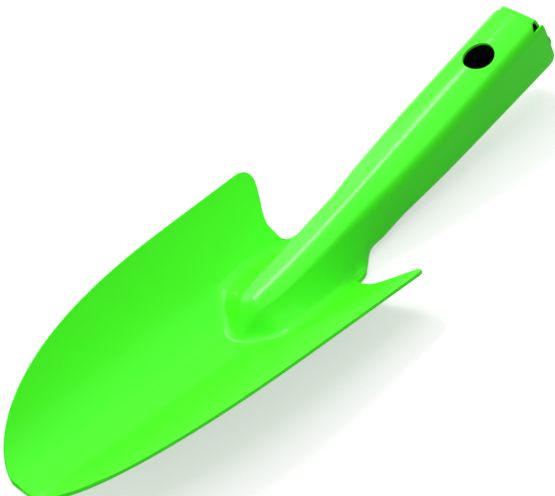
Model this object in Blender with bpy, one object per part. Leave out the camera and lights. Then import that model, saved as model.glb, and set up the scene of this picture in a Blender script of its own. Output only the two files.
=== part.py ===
"""Garden trowel: one steel sheet pressed into a dished blade and rolled into a hollow handle.

X = 0 is the plane of symmetry, the blade points along -Y and the handle along +Y.
The sheet is one grid whose rows run across the trowel, from the tip to the handle's end.
"""
import math

import bmesh
import bpy
from mathutils import Matrix, Vector

# Sheet
SHEET_THICKNESS = 0.0012

# Blade outline, seen from above; stations are measured along the trowel from the tip
BLADE_HALF_WIDTH = 0.0422
WIDEST_STATION = 0.1031
REAR_START = 0.0960
TIP_ROUNDNESS = 2.73
TIP_FULLNESS = 0.49
FRONT_NARROWING = 0.13
NOTCH_STATION = 0.1329
HORN_STATION = 0.1389
HORN_RISE_POWER = 1.56
NOTCH_RADIUS = 0.0030
NOTCH_FLOOR_LENGTH = 0.0075
SHOULDER_RADIUS = 0.0047

# Dish of the blade
DISH_DEPTH = 0.0184
DISH_POWER = 1.46
DISH_FLOOR = 0.0040
DISH_FRONT_GAIN = 0.31
TIP_LIFT = 0.0031
TIP_LIFT_LENGTH = 0.0777

# Rib pressed into the blade, rising towards the handle
RIB_STATION = 0.0880
RIB_START_HEIGHT = 0.0076
RIB_NOSE_LENGTH = 0.0120
RIB_NOSE_POWER = 1.7
RIB_TOE_LENGTH = 0.0180
RIB_PITCH = math.radians(7.0)
RIB_HALF_CROWN = 0.0058
RIB_LEG_ANGLE = math.radians(36.0)
RIB_STEEPENING = 2.2
RIB_FOOT_RADIUS = 0.0130
RIB_WIDEST_SHARE = 0.60
RIB_DOME_SHARE = 0.75

# Neck, where the blade's sheet turns into the handle
NECK_HALF_CROWN = 0.0062
NECK_LEG_ANGLE = math.radians(68.0)
NECK_FOOT_RADIUS = 0.0050
NECK_DOME_SHARE = 0.35
NECK_PITCH = math.radians(15.0)
NECK_OPEN_LENGTH = 0.0165
NECK_BEND_LENGTH = 0.0280
FLANGE_CLOSING_LENGTH = 0.0300

# Handle: a rounded box section, closed underneath by two flanges that meet at a seam
HANDLE_LENGTH = 0.1051
HANDLE_PITCH = math.radians(16.0)
HANDLE_DOME_SHARE = 0.12
HANDLE_HALF_CROWN_MIDDLE = 0.0077
HANDLE_HALF_CROWN_END = 0.0074
HANDLE_DEPTH_NECK = 0.0155
HANDLE_DEPTH_END = 0.0227
TOP_EDGE_RADIUS = 0.0039
BOTTOM_EDGE_RADIUS = 0.0032
RIDGE_HALF_WIDTH = 0.0008
RIDGE_SLOPE = math.radians(2.5)
SEAM_GAP = 0.0006

# Hanging hole in the handle's upper wall
HOLE_DIAMETER = 0.0113
HOLE_TO_END = 0.0226

# End tab, folded down between the side walls, and the relief notch at each of its corners
FOLD_RADIUS = 0.0022
TAB_SIDE_GAP = 0.0008
RELIEF_LENGTH = 0.0044
RELIEF_TIP_WIDTH = 0.0008
RELIEF_PAST_MIDDLE = 0.0004
LEFT_RELIEF_FLARE = 0.0020
RELIEF_OVERCUT = 0.0003
RELIEF_DEPTH = 0.0016
LEFT_RELIEF_DEPTH = 0.0034

# Rounded lower corner of each side wall at the handle's end; the flanges end behind it
END_CORNER_RADIUS = 0.0042
END_CORNER_ABOVE_BEND = 0.0025

# Tack welds: one at each end of the seam, and one at each side of the tab
MATING_GAP = 0.0003
SEAM_WELD_LENGTH = 0.0080
SEAM_WELD_WIDTH = 0.0048
SEAM_WELD_HEIGHT = 0.0010
SEAM_WELD_PLACE = 0.0385
END_WELD_LENGTH = 0.0046
END_WELD_WIDTH = 0.0028
TAB_WELD_LENGTH = 0.0050
TAB_WELD_WIDTH = 0.0032
END_WELD_HEIGHT = 0.0008

# Paint, as linear red, green and blue
PAINT_COLOUR = (0.080, 0.870, 0.025, 1.0)
PAINT_ROUGHNESS = 0.28
WELD_ROUGHNESS = 0.40

# Rows and columns of the grid; columns are counted outwards from the plane of symmetry
FRONT_ROWS = 20
FRONT_ROW_CROWDING = 2.0
RIB_ROWS = 16
RIB_ROW_CROWDING = 1.45
NECK_ROWS = 8
HANDLE_ROWS = 14
FOLD_ROWS = 3
TAB_ROWS = 4
RIDGE_COLUMNS = 1
CROWN_COLUMNS = 4
SHOULDER_COLUMNS = 4
LEG_COLUMNS = 3
FOOT_COLUMNS = 5
WING_COLUMNS = 10

NECK_ROW = FRONT_ROWS + RIB_ROWS
CLOSED_ROW = NECK_ROW + NECK_ROWS
END_ROW = CLOSED_ROW + HANDLE_ROWS
FOLD_ROW = END_ROW + FOLD_ROWS
LAST_ROW = FOLD_ROW + TAB_ROWS
WALL_COLUMN = CROWN_COLUMNS + SHOULDER_COLUMNS
EDGE_COLUMN = WALL_COLUMN + LEG_COLUMNS + FOOT_COLUMNS
LAST_COLUMN = EDGE_COLUMN + WING_COLUMNS

# Steps and limits of the geometry
CREST_STEPS = 24
HOLE_SEGMENTS = 32
BEAD_SEGMENTS = 16
BEAD_RINGS = 8
SHARP_ANGLE = math.radians(40.0)
HALF_TURN = math.pi
SQUARE = math.pi / 2
LEAST_BEND = 0.02
SMALLEST = 1e-5
MERGE_DISTANCE = 4e-5


def share(value, start, end):
    """How far value has gone from start to end, from 0 to 1."""
    return min(max((value - start) / (end - start), 0.0), 1.0)


def ease(value, start, end):
    """The same share, with a soft start and a soft end."""
    part = share(value, start, end)
    return part * part * (3.0 - 2.0 * part)


def blend(first, second, part):
    return first + (second - first) * part


# Blade

def half_width(station):
    """Half the blade's width, square to the trowel."""
    front = share(station, 0.0, WIDEST_STATION)
    rounding = (1.0 - (1.0 - front) ** TIP_ROUNDNESS) ** TIP_FULLNESS
    narrowing = 1.0 - FRONT_NARROWING * (1.0 - share(station, 0.0, HORN_STATION))
    return max(BLADE_HALF_WIDTH * rounding * narrowing, SMALLEST)


def dish_height(x, station):
    """Height of the dished blade above its own lowest line."""
    tip_lift = TIP_LIFT * (1.0 - share(station, 0.0, TIP_LIFT_LENGTH)) ** 2
    gain = 1.0 + DISH_FRONT_GAIN * (1.0 - share(station, 0.0, HORN_STATION))
    outwards = math.hypot(x, DISH_FLOOR) - DISH_FLOOR
    rim = math.hypot(BLADE_HALF_WIDTH, DISH_FLOOR) - DISH_FLOOR
    return tip_lift + DISH_DEPTH * gain * (outwards / rim) ** DISH_POWER


def round_corner(distance, radius):
    """How far a rounded corner of a straight edge lies back, at a distance from the corner's side."""
    return radius - math.sqrt(max(radius ** 2 - (radius - min(distance, radius)) ** 2, 0.0))


def rear_station(distance, span):
    """Station of the blade's rear edge: a notch beside the neck, then a horn out to the rim.

    The distance is measured from the neck, and the span reaches from there to the rim.
    """
    floor = NOTCH_STATION - NOTCH_RADIUS + round_corner(distance, NOTCH_RADIUS)
    rise = math.sin(SQUARE * share(distance, NOTCH_FLOOR_LENGTH, span)) ** HORN_RISE_POWER
    horn = (HORN_STATION - NOTCH_STATION + NOTCH_RADIUS) * rise
    return floor + horn - round_corner(span - distance, SHOULDER_RADIUS)


def wing_share(column):
    """How far out a column of the wing lies; the columns crowd towards the neck and the rim."""
    return (1.0 - math.cos(math.pi * (column - EDGE_COLUMN) / WING_COLUMNS)) / 2.0


def rib_height(station):
    """Height of the rib's crest above the dish; its slope grows evenly to the neck's."""
    distance = station - RIB_STATION
    first = math.tan(RIB_PITCH)
    growth = (math.tan(NECK_PITCH) - first) / (NOTCH_STATION - RIB_STATION)
    line = RIB_START_HEIGHT + first * distance + growth * distance ** 2 / 2.0
    nose = math.sin(SQUARE * share(station, RIB_STATION, RIB_STATION + RIB_NOSE_LENGTH))
    return line * nose ** RIB_NOSE_POWER


def bent_strip(runs):
    """Points (x, z) of a bent strip, from the crest outwards.

    Each run is a length, the angle it bends downwards by, and its number of steps.
    """
    points = [(0.0, 0.0)]
    slope = 0.0
    for length, bend, steps in runs:
        for _ in range(steps):
            x, z = points[-1]
            middle = slope + bend / steps / 2.0
            points.append((x + length / steps * math.cos(middle), z - length / steps * math.sin(middle)))
            slope += bend / steps
    return points


def section_of_height(height, half_crown, dome_share, leg_angle, foot, foot_bend):
    """Half section: a soft ridge, a domed crown, the upper bend, the side and the foot.

    The dome takes its share of the turn from the ridge to the side, and the side takes up the height.
    """
    slope = min(RIDGE_SLOPE, leg_angle / 4.0)
    dome = dome_share * (leg_angle - slope)
    bend = leg_angle - slope - dome
    above = (
        (RIDGE_HALF_WIDTH, slope, RIDGE_COLUMNS),
        (half_crown - RIDGE_HALF_WIDTH, dome, CROWN_COLUMNS - RIDGE_COLUMNS),
        (TOP_EDGE_RADIUS * max(bend, LEAST_BEND), bend, SHOULDER_COLUMNS),
    )
    below = (foot, foot_bend, FOOT_COLUMNS)
    bends_drop = -bent_strip((*above, (0.0, 0.0, LEG_COLUMNS), below))[-1][1]
    side = max((height - bends_drop) / math.sin(leg_angle), SMALLEST)
    return bent_strip((*above, (side, 0.0, LEG_COLUMNS), below))


def rib_section(station):
    """Half section of the rib, with its foot at height 0."""
    height = rib_height(station)
    along = share(station, RIB_STATION, NOTCH_STATION)
    toe = math.sqrt(share(station, RIB_STATION, RIB_STATION + RIB_TOE_LENGTH))
    half_crown = blend(RIDGE_HALF_WIDTH, blend(RIB_HALF_CROWN, NECK_HALF_CROWN, along), toe)
    dome_share = blend(RIB_DOME_SHARE, NECK_DOME_SHARE, along)
    widest_angle = blend(RIB_LEG_ANGLE, NECK_LEG_ANGLE, along ** RIB_STEEPENING)
    foot_radius = blend(RIB_FOOT_RADIUS, NECK_FOOT_RADIUS, along)
    flattest = math.acos(max(1.0 - height / (TOP_EDGE_RADIUS + foot_radius), -1.0))
    angle = max(min(widest_angle, flattest), LEAST_BEND)
    points = section_of_height(height, half_crown, dome_share, angle, foot_radius * angle, -angle)
    foot = points[-1][1]
    top = max(-foot, SMALLEST)
    return [(x, (z - foot) * height / top) for x, z in points]


def height_on(section, x):
    """Height of a section's outline at x; beyond its foot the height is 0."""
    for (x1, z1), (x2, z2) in zip(section, section[1:]):
        if x <= x2:
            return blend(z1, z2, share(x, x1, x2))
    return 0.0


def spread_section(station):
    """The rib's section with its points even in front of the rib, and on its bends at the neck."""
    section = rib_section(station)
    reach = rib_section(NOTCH_STATION)[-1][0]
    bent = ease(station, RIB_STATION, NOTCH_STATION)
    evenly = [reach * column / EDGE_COLUMN for column in range(EDGE_COLUMN + 1)]
    columns = [blend(even, place[0], bent) for even, place in zip(evenly, section)]
    return [(x, height_on(section, x)) for x in columns]


def blade_station(row):
    """Station of a row; the rows crowd at the tip and at the start of the rib."""
    if row <= FRONT_ROWS:
        return RIB_STATION * (row / FRONT_ROWS) ** FRONT_ROW_CROWDING
    return blend(RIB_STATION, NOTCH_STATION, ((row - FRONT_ROWS) / RIB_ROWS) ** RIB_ROW_CROWDING)


def blade_point(row, column):
    station = blade_station(row)
    width = half_width(station)
    section = spread_section(station)
    narrowing = min(1.0, RIB_WIDEST_SHARE * width / section[-1][0])
    if column <= EDGE_COLUMN:
        x, height = section[column]
        x *= narrowing
        return Vector((x, station, height + dish_height(x, station)))
    foot = section[-1][0] * narrowing
    span = half_width(HORN_STATION) - foot
    outwards = wing_share(column)
    rear = ease(station, REAR_START, NOTCH_STATION)
    station += (rear_station(outwards * span, span) - NOTCH_STATION) * rear
    x = blend(foot, half_width(station), outwards)
    return Vector((x, station, dish_height(x, station)))


# Handle

def handle_pitch(along):
    """Slope of the handle's top line; along is the length from the notch."""
    return blend(NECK_PITCH, HANDLE_PITCH, ease(along, 0.0, NECK_BEND_LENGTH))


def handle_half_crown(along):
    middle = HANDLE_LENGTH / 2.0
    if along < middle:
        return blend(NECK_HALF_CROWN, HANDLE_HALF_CROWN_MIDDLE, ease(along, 0.0, middle))
    return blend(HANDLE_HALF_CROWN_MIDDLE, HANDLE_HALF_CROWN_END, ease(along, middle, HANDLE_LENGTH))


def handle_depth(along):
    return blend(HANDLE_DEPTH_NECK, HANDLE_DEPTH_END, share(along, 0.0, HANDLE_LENGTH))


def handle_section(along):
    """Half section of the neck and handle: crown, upper bend, side wall and lower bend.

    The dish of the blade fades out of it along the neck.
    """
    leg_angle = blend(NECK_LEG_ANGLE, SQUARE, ease(along, 0.0, NECK_BEND_LENGTH))
    dome_share = blend(NECK_DOME_SHARE, HANDLE_DOME_SHARE, ease(along, 0.0, NECK_BEND_LENGTH))
    closing = ease(along, 0.0, NECK_OPEN_LENGTH)
    trim = math.sin(SQUARE * share(along, 0.0, NECK_OPEN_LENGTH))
    open_foot = NECK_FOOT_RADIUS * NECK_LEG_ANGLE
    closed_foot = BOTTOM_EDGE_RADIUS * (HALF_TURN - leg_angle)
    depth = blend(rib_height(NOTCH_STATION), handle_depth(along), closing)
    points = section_of_height(depth, handle_half_crown(along), dome_share, leg_angle,
                               blend(open_foot, closed_foot, trim), HALF_TURN * closing - leg_angle)
    return [(x, z + dish_height(x, NOTCH_STATION) * (1.0 - closing)) for x, z in points]


def crest_place(along):
    """Point (station, height) of the handle's crest, following its pitch from the notch."""
    bent = min(along, NECK_BEND_LENGTH)
    straight = along - bent
    station = NOTCH_STATION + straight * math.cos(HANDLE_PITCH)
    height = rib_height(NOTCH_STATION) + straight * math.sin(HANDLE_PITCH)
    piece = bent / CREST_STEPS
    for step in range(CREST_STEPS):
        pitch = handle_pitch(piece * (step + 0.5))
        station += piece * math.cos(pitch)
        height += piece * math.sin(pitch)
    return station, height


def section_tilt(along):
    """Lean of the section: upright at the notch, then square to the handle."""
    return handle_pitch(along) * ease(along, 0.0, NECK_BEND_LENGTH)


def on_handle(along, x, z):
    """Place a point of the section at its distance along the handle."""
    station, height = crest_place(along)
    tilt = section_tilt(along)
    return Vector((x, station - z * math.sin(tilt), height + z * math.cos(tilt)))


def row_distance(row):
    """Distance from the notch to a row of the neck or the handle."""
    if row <= CLOSED_ROW:
        return NECK_OPEN_LENGTH * (row - NECK_ROW) / NECK_ROWS
    return blend(NECK_OPEN_LENGTH, HANDLE_LENGTH, (row - CLOSED_ROW) / HANDLE_ROWS)


def end_setback(section, column):
    """How far a column's end lies behind the handle's end, for the fold and the rounded lower corner."""
    if column <= CROWN_COLUMNS:
        return FOLD_RADIUS
    outline = [math.dist(*pair) for pair in zip(section, section[1:])]
    bend_start = sum(outline[:WALL_COLUMN + LEG_COLUMNS])
    past = sum(outline[:column]) - bend_start + END_CORNER_ABOVE_BEND
    past = min(max(past, 0.0), END_CORNER_RADIUS)
    return END_CORNER_RADIUS - math.sqrt(END_CORNER_RADIUS ** 2 - past ** 2)


def handle_point(row, column):
    along = row_distance(row)
    section = handle_section(along)
    if row == END_ROW:
        along -= end_setback(section, column)
    if column <= EDGE_COLUMN:
        return on_handle(along, *section[column])
    edge, z = section[-1]
    closing = ease(along, NECK_OPEN_LENGTH, NECK_OPEN_LENGTH + FLANGE_CLOSING_LENGTH)
    flange = (edge - SEAM_GAP / 2.0) * closing
    x = edge - flange * (column - EDGE_COLUMN) / WING_COLUMNS
    return on_handle(along, x, z)


# End tab

def inner_half_width(depth):
    """Half the clear width between the side walls at the handle's end, at a depth below its crest."""
    wall_x, wall_z = handle_section(HANDLE_LENGTH)[WALL_COLUMN]
    side = wall_x - SHEET_THICKNESS
    top_radius = TOP_EDGE_RADIUS - SHEET_THICKNESS
    bottom_radius = BOTTOM_EDGE_RADIUS - SHEET_THICKNESS
    above = -wall_z - depth
    below = depth - (HANDLE_DEPTH_END - BOTTOM_EDGE_RADIUS)
    if above > 0.0:
        return side - top_radius + math.sqrt(max(top_radius ** 2 - above ** 2, 0.0))
    if below > 0.0:
        return side - bottom_radius + math.sqrt(max(bottom_radius ** 2 - below ** 2, 0.0))
    return side


def tab_point(row, column):
    turned = SQUARE * share(row, END_ROW, FOLD_ROW)
    straight = HANDLE_DEPTH_END - SHEET_THICKNESS - TAB_SIDE_GAP - FOLD_RADIUS
    drop = FOLD_RADIUS * (1.0 - math.cos(turned)) + straight * share(row, FOLD_ROW, LAST_ROW)
    along = HANDLE_LENGTH - FOLD_RADIUS * (1.0 - math.sin(turned))
    crown = handle_section(HANDLE_LENGTH)[column]
    across = crown[0] / handle_half_crown(HANDLE_LENGTH)
    wide = max(inner_half_width(drop) - TAB_SIDE_GAP, handle_half_crown(HANDLE_LENGTH)) * across
    widened = share(row, END_ROW, FOLD_ROW + 1)
    dome = crown[1] * (1.0 - share(row, END_ROW, FOLD_ROW))
    return on_handle(HANDLE_LENGTH, blend(crown[0], wide, widened), dome - drop) + tab_offset(along)


def tab_offset(along):
    """Shift along the handle's line, from the handle's end to a point of the fold."""
    back = along - HANDLE_LENGTH
    pitch = handle_pitch(HANDLE_LENGTH)
    return Vector((0.0, back * math.cos(pitch), back * math.sin(pitch)))


# Sheet as a grid

def grid_place(co):
    """Row and signed column of a vertex of the unit grid."""
    row = round((co.y + 1.0) / 2.0 * LAST_ROW)
    return row, round(co.x * LAST_COLUMN)


def sheet_point(row, column):
    side = -1.0 if column < 0 else 1.0
    if row <= NECK_ROW:
        point = blade_point(row, abs(column))
    elif row <= END_ROW:
        point = handle_point(row, abs(column))
    else:
        point = tab_point(row, min(abs(column), CROWN_COLUMNS))
    point.x *= side
    return point


def outside_sheet(face):
    """True for a grid face in the notch beside the neck, or beside the end tab."""
    centre = face.calc_center_median()
    row = (centre.y + 1.0) / 2.0 * LAST_ROW
    column = abs(centre.x) * LAST_COLUMN
    in_notch = NECK_ROW < row < CLOSED_ROW and column > EDGE_COLUMN
    beside_tab = row > END_ROW and column > CROWN_COLUMNS
    return in_notch or beside_tab


def link(name, mesh):
    obj = bpy.data.objects.new(name, mesh)
    bpy.context.collection.objects.link(obj)
    return obj


def paint(name, roughness):
    material = bpy.data.materials.new(name)
    material.use_nodes = True
    shader = material.node_tree.nodes["Principled BSDF"]
    shader.inputs["Base Color"].default_value = PAINT_COLOUR
    shader.inputs["Roughness"].default_value = roughness
    shader.inputs["Metallic"].default_value = 0.0
    return material


def object_from(bm, name, roughness):
    mesh = bpy.data.meshes.new(name)
    bm.to_mesh(mesh)
    bm.free()
    mesh.shade_smooth()
    mesh.set_sharp_from_angle(angle=SHARP_ANGLE)
    mesh.materials.append(paint(name + "_paint", roughness))
    return link(name, mesh)


def cutter_from(bm, name):
    """A guide that only cuts: drawn as wire and left out of renders."""
    mesh = bpy.data.meshes.new(name)
    bm.to_mesh(mesh)
    bm.free()
    cutter = link(name, mesh)
    cutter.hide_render = True
    cutter.display_type = "WIRE"
    return cutter


def handle_matrix(along, x, z):
    """Axes at a point of the section: X across, Y along the handle, Z out of its top."""
    turn = Matrix.Rotation(section_tilt(along), 4, "X")
    return Matrix.Translation(on_handle(along, x, z)) @ turn


def hole_cutter():
    depth = HANDLE_DEPTH_END / 2.0
    bm = bmesh.new()
    bmesh.ops.create_cone(bm, cap_ends=True, segments=HOLE_SEGMENTS, radius1=HOLE_DIAMETER / 2.0,
                          radius2=HOLE_DIAMETER / 2.0, depth=2.0 * depth)
    bm.transform(handle_matrix(HANDLE_LENGTH - HOLE_TO_END, 0.0, 0.0))
    return cutter_from(bm, "hole_cutter")


def relief_cutter(side):
    """A wedge that frees the tab from a side wall: its tip points along the upper bend.

    On the left it also takes the wall's upper corner off.
    """
    section = handle_section(HANDLE_LENGTH)
    first, last = section[CROWN_COLUMNS], section[WALL_COLUMN]
    half_chord = math.dist(first, last) / 2.0
    lean = math.atan2(first[1] - last[1], last[0] - first[0])
    sagitta = TOP_EDGE_RADIUS - math.sqrt(TOP_EDGE_RADIUS ** 2 - half_chord ** 2)
    inner = -half_chord - RELIEF_OVERCUT
    inner_edge = (RELIEF_PAST_MIDDLE - RELIEF_TIP_WIDTH, inner, inner)
    flare = 0.0 if side > 0 else half_chord + LEFT_RELIEF_FLARE
    outer_edge = (RELIEF_PAST_MIDDLE, RELIEF_PAST_MIDDLE + flare / 2.0, RELIEF_PAST_MIDDLE + flare)
    stations = (-RELIEF_LENGTH, -FOLD_RADIUS, SHEET_THICKNESS)
    inner_depth = sagitta + RELIEF_DEPTH
    outer_depth = inner_depth if side > 0 else LEFT_RELIEF_DEPTH
    bm = bmesh.new()
    bmesh.ops.create_grid(bm, x_segments=1, y_segments=2, size=1.0)
    for vertex in bm.verts:
        step = round(vertex.co.y) + 1
        if vertex.co.x > 0.0:
            vertex.co = Vector((outer_edge[step], stations[step], -outer_depth))
        else:
            vertex.co = Vector((inner_edge[step], stations[step], -inner_depth))
    raised = bmesh.ops.extrude_face_region(bm, geom=bm.faces[:])["geom"]
    top = [item for item in raised if isinstance(item, bmesh.types.BMVert)]
    bmesh.ops.translate(bm, verts=top, vec=(0.0, 0.0, outer_depth + SHEET_THICKNESS))
    bmesh.ops.recalc_face_normals(bm, faces=bm.faces)
    middle_x, middle_z = (first[0] + last[0]) / 2.0, (first[1] + last[1]) / 2.0
    outwards = Vector((math.sin(lean), 0.0, math.cos(lean))) * sagitta
    bm.transform(handle_matrix(HANDLE_LENGTH, middle_x, middle_z) @ Matrix.Translation(outwards)
                 @ Matrix.Rotation(lean, 4, "Y"))
    if side < 0:
        bm.transform(Matrix.Scale(-1.0, 4, Vector((1.0, 0.0, 0.0))))
        bmesh.ops.reverse_faces(bm, faces=bm.faces)
    return cutter_from(bm, "relief_cutter_right" if side > 0 else "relief_cutter_left")


def cut(obj, cutter):
    modifier = obj.modifiers.new(cutter.name, "BOOLEAN")
    modifier.operation = "DIFFERENCE"
    modifier.solver = "EXACT"
    modifier.object = cutter


def blade_and_handle():
    bm = bmesh.new()
    bmesh.ops.create_grid(bm, x_segments=2 * LAST_COLUMN, y_segments=LAST_ROW, size=1.0)
    unused = [face for face in bm.faces if outside_sheet(face)]
    bmesh.ops.delete(bm, geom=unused, context="FACES")
    for vertex in bm.verts:
        vertex.co = sheet_point(*grid_place(vertex.co))
    bmesh.ops.remove_doubles(bm, verts=bm.verts, dist=MERGE_DISTANCE)
    sheet = object_from(bm, "blade_and_handle", PAINT_ROUGHNESS)
    solidify = sheet.modifiers.new("thickness", "SOLIDIFY")
    solidify.thickness = SHEET_THICKNESS
    solidify.offset = -1.0
    solidify.use_even_offset = True
    cut(sheet, hole_cutter())
    cut(sheet, relief_cutter(1))
    cut(sheet, relief_cutter(-1))
    return sheet


# Welds

def weld_bead(name, length, width, height, place):
    """Half an ellipsoid, flat towards the sheet and domed away from it, lengthwise along Y."""
    bm = bmesh.new()
    bmesh.ops.create_uvsphere(bm, u_segments=BEAD_SEGMENTS, v_segments=BEAD_RINGS, radius=1.0)
    bmesh.ops.bisect_plane(bm, geom=bm.verts[:] + bm.edges[:] + bm.faces[:], dist=SMALLEST,
                           plane_co=(0.0, 0.0, 0.0), plane_no=(0.0, 0.0, 1.0), clear_inner=True)
    rim = [edge for edge in bm.edges if edge.is_boundary]
    bmesh.ops.edgeloop_fill(bm, edges=rim)
    bmesh.ops.recalc_face_normals(bm, faces=bm.faces)
    bm.transform(place @ Matrix.Diagonal((width / 2.0, length / 2.0, height, 1.0)))
    return object_from(bm, name, WELD_ROUGHNESS)


def front_weld():
    """The tack at the front end of the seam, across the flanges' underside."""
    face_down = Matrix.Rotation(HALF_TURN, 4, "Y")
    place = handle_matrix(SEAM_WELD_PLACE, 0.0, -handle_depth(SEAM_WELD_PLACE) - MATING_GAP) @ face_down
    return weld_bead("seam_weld_front", SEAM_WELD_LENGTH, SEAM_WELD_WIDTH, SEAM_WELD_HEIGHT, place)


def end_matrix(along, x, z):
    """Axes on an end of the sheet: Y down the end, Z out of it."""
    past_end = Matrix.Translation((0.0, MATING_GAP, 0.0))
    face_out = Matrix.Rotation(-SQUARE, 4, "X")
    return handle_matrix(along, x, z) @ past_end @ face_out


def end_welds():
    """The tacks on the sheet's ends: across the flanges' seam, and at each side of the tab."""
    across_seam = Matrix.Rotation(SQUARE, 4, "Z")
    seam_end = HANDLE_LENGTH - END_CORNER_RADIUS
    seam_middle = END_WELD_WIDTH / 2.0 - handle_depth(seam_end)
    beads = [weld_bead("seam_weld_end", END_WELD_LENGTH, END_WELD_WIDTH, END_WELD_HEIGHT,
                       end_matrix(seam_end, 0.0, seam_middle) @ across_seam)]
    depth = HANDLE_DEPTH_END / 2.0
    for name, side in (("tab_weld_left", -1.0), ("tab_weld_right", 1.0)):
        x = side * (inner_half_width(depth) - TAB_SIDE_GAP / 2.0)
        place = end_matrix(HANDLE_LENGTH, x, -depth)
        beads.append(weld_bead(name, TAB_WELD_LENGTH, TAB_WELD_WIDTH, END_WELD_HEIGHT, place))
    return beads


# Rest

def evaluated_mesh(obj):
    graph = bpy.context.evaluated_depsgraph_get()
    bm = bmesh.new()
    bm.from_object(obj, graph)
    bmesh.ops.triangulate(bm, faces=bm.faces)
    return bm


def mass_centre(bm):
    volume = 0.0
    moment = Vector()
    for face in bm.faces:
        a, b, c = (vertex.co for vertex in face.verts)
        part = a.dot(b.cross(c)) / 6.0
        volume += part
        moment += part * (a + b + c) / 4.0
    return moment / volume


def lower_hull(points):
    """Lower edge of the side outline, as (station, height) corners from the tip to the handle's end."""
    corners = []
    for point in sorted(points):
        while len(corners) > 1:
            (y1, z1), (y2, z2) = corners[-2:]
            if (y2 - y1) * (point[1] - z1) > (z2 - z1) * (point[0] - y1):
                break
            corners.pop()
        corners.append(point)
    return corners


def resting_slope(bm):
    """Slope of the side outline's lower edge under the centre of mass, on which the trowel lies."""
    centre = mass_centre(bm)
    corners = lower_hull({(vertex.co.y, vertex.co.z) for vertex in bm.verts})
    for (y1, z1), (y2, z2) in zip(corners, corners[1:]):
        slope = math.atan2(z2 - z1, y2 - y1)
        foot = centre.y * math.cos(slope) + centre.z * math.sin(slope)
        first = y1 * math.cos(slope) + z1 * math.sin(slope)
        second = y2 * math.cos(slope) + z2 * math.sin(slope)
        if first <= foot <= second:
            return slope
    raise ValueError("the side outline has no edge under the centre of mass")


def lay_down(sheet, pieces):
    """Turn every piece to its rest, with the sheet's box standing centred on the origin."""
    bm = evaluated_mesh(sheet)
    turn = Matrix.Rotation(-resting_slope(bm), 4, "X")
    bm.transform(turn)
    stations = [vertex.co.y for vertex in bm.verts]
    lowest = min(vertex.co.z for vertex in bm.verts)
    bm.free()
    middle = (min(stations) + max(stations)) / 2.0
    rest = bpy.data.objects.new("rest", None)
    bpy.context.collection.objects.link(rest)
    rest.matrix_world = Matrix.Translation((0.0, -middle, -lowest)) @ turn
    for piece in pieces:
        piece.parent = rest


def main():
    for obj in list(bpy.data.objects):
        bpy.data.objects.remove(obj, do_unlink=True)
    sheet = blade_and_handle()
    welds = [front_weld()] + end_welds()
    cutters = [modifier.object for modifier in sheet.modifiers if modifier.type == "BOOLEAN"]
    bpy.context.view_layer.update()
    lay_down(sheet, [sheet] + welds + cutters)


main()
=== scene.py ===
"""Garden trowel pressed from one sheet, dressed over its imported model: sheet, tack welds, paint and stage.

The sheet is laid out in its own frame, with the tip at the origin and the handle along +Y,
and is then turned and moved to the way it lies.
"""
import math

import bmesh
import bpy
from bpy.props import FloatProperty, FloatVectorProperty, IntProperty, PointerProperty
from mathutils import Matrix, Vector


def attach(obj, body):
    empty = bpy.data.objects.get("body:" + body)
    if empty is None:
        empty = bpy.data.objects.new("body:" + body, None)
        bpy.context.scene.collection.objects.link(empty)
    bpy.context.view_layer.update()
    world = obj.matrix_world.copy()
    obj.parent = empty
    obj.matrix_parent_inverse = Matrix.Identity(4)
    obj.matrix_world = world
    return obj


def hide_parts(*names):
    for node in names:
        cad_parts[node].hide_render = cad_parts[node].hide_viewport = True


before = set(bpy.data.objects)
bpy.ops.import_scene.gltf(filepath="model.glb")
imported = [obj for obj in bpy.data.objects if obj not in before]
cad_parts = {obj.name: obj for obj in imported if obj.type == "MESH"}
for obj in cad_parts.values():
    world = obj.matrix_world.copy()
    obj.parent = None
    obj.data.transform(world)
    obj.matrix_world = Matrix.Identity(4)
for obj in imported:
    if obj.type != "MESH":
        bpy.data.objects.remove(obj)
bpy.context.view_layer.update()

bl_info = {
    "name": "Pressed Steel Trowel",
    "version": (1, 0, 0),
    "blender": (4, 5, 0),
    "location": "3D View > Sidebar > Trowel",
    "description": "Builds the painted sheet, the tack welds and the stage of a garden trowel",
    "category": "Add Mesh",
}

SQUARE = math.pi / 2.0
HALF_TURN = math.pi
WHITE = (1.0, 1.0, 1.0, 1.0)

# Least angle of a bend and least length in a section, and the gap that closes between vertices
LEAST_BEND = 0.02
SMALLEST = 1e-6
MERGE_GAP = 5.0 * SMALLEST


def length(name, description, default):
    return FloatProperty(name=name, description=description, default=default, min=0.0, unit="LENGTH",
                         precision=5)


def number(name, description, default):
    return FloatProperty(name=name, description=description, default=default, precision=3)


def angle(name, description, degrees):
    return FloatProperty(name=name, description=description, default=math.radians(degrees), unit="ROTATION")


def power(name, description, default):
    return FloatProperty(name=name, description=description, default=default, min=0.0, unit="POWER")


def count(name, description, default):
    return IntProperty(name=name, description=description, default=default, min=1)


def colour(name, description, default):
    return FloatVectorProperty(name=name, description=description, default=default, size=4, min=0.0, max=1.0,
                               subtype="COLOR")


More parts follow.
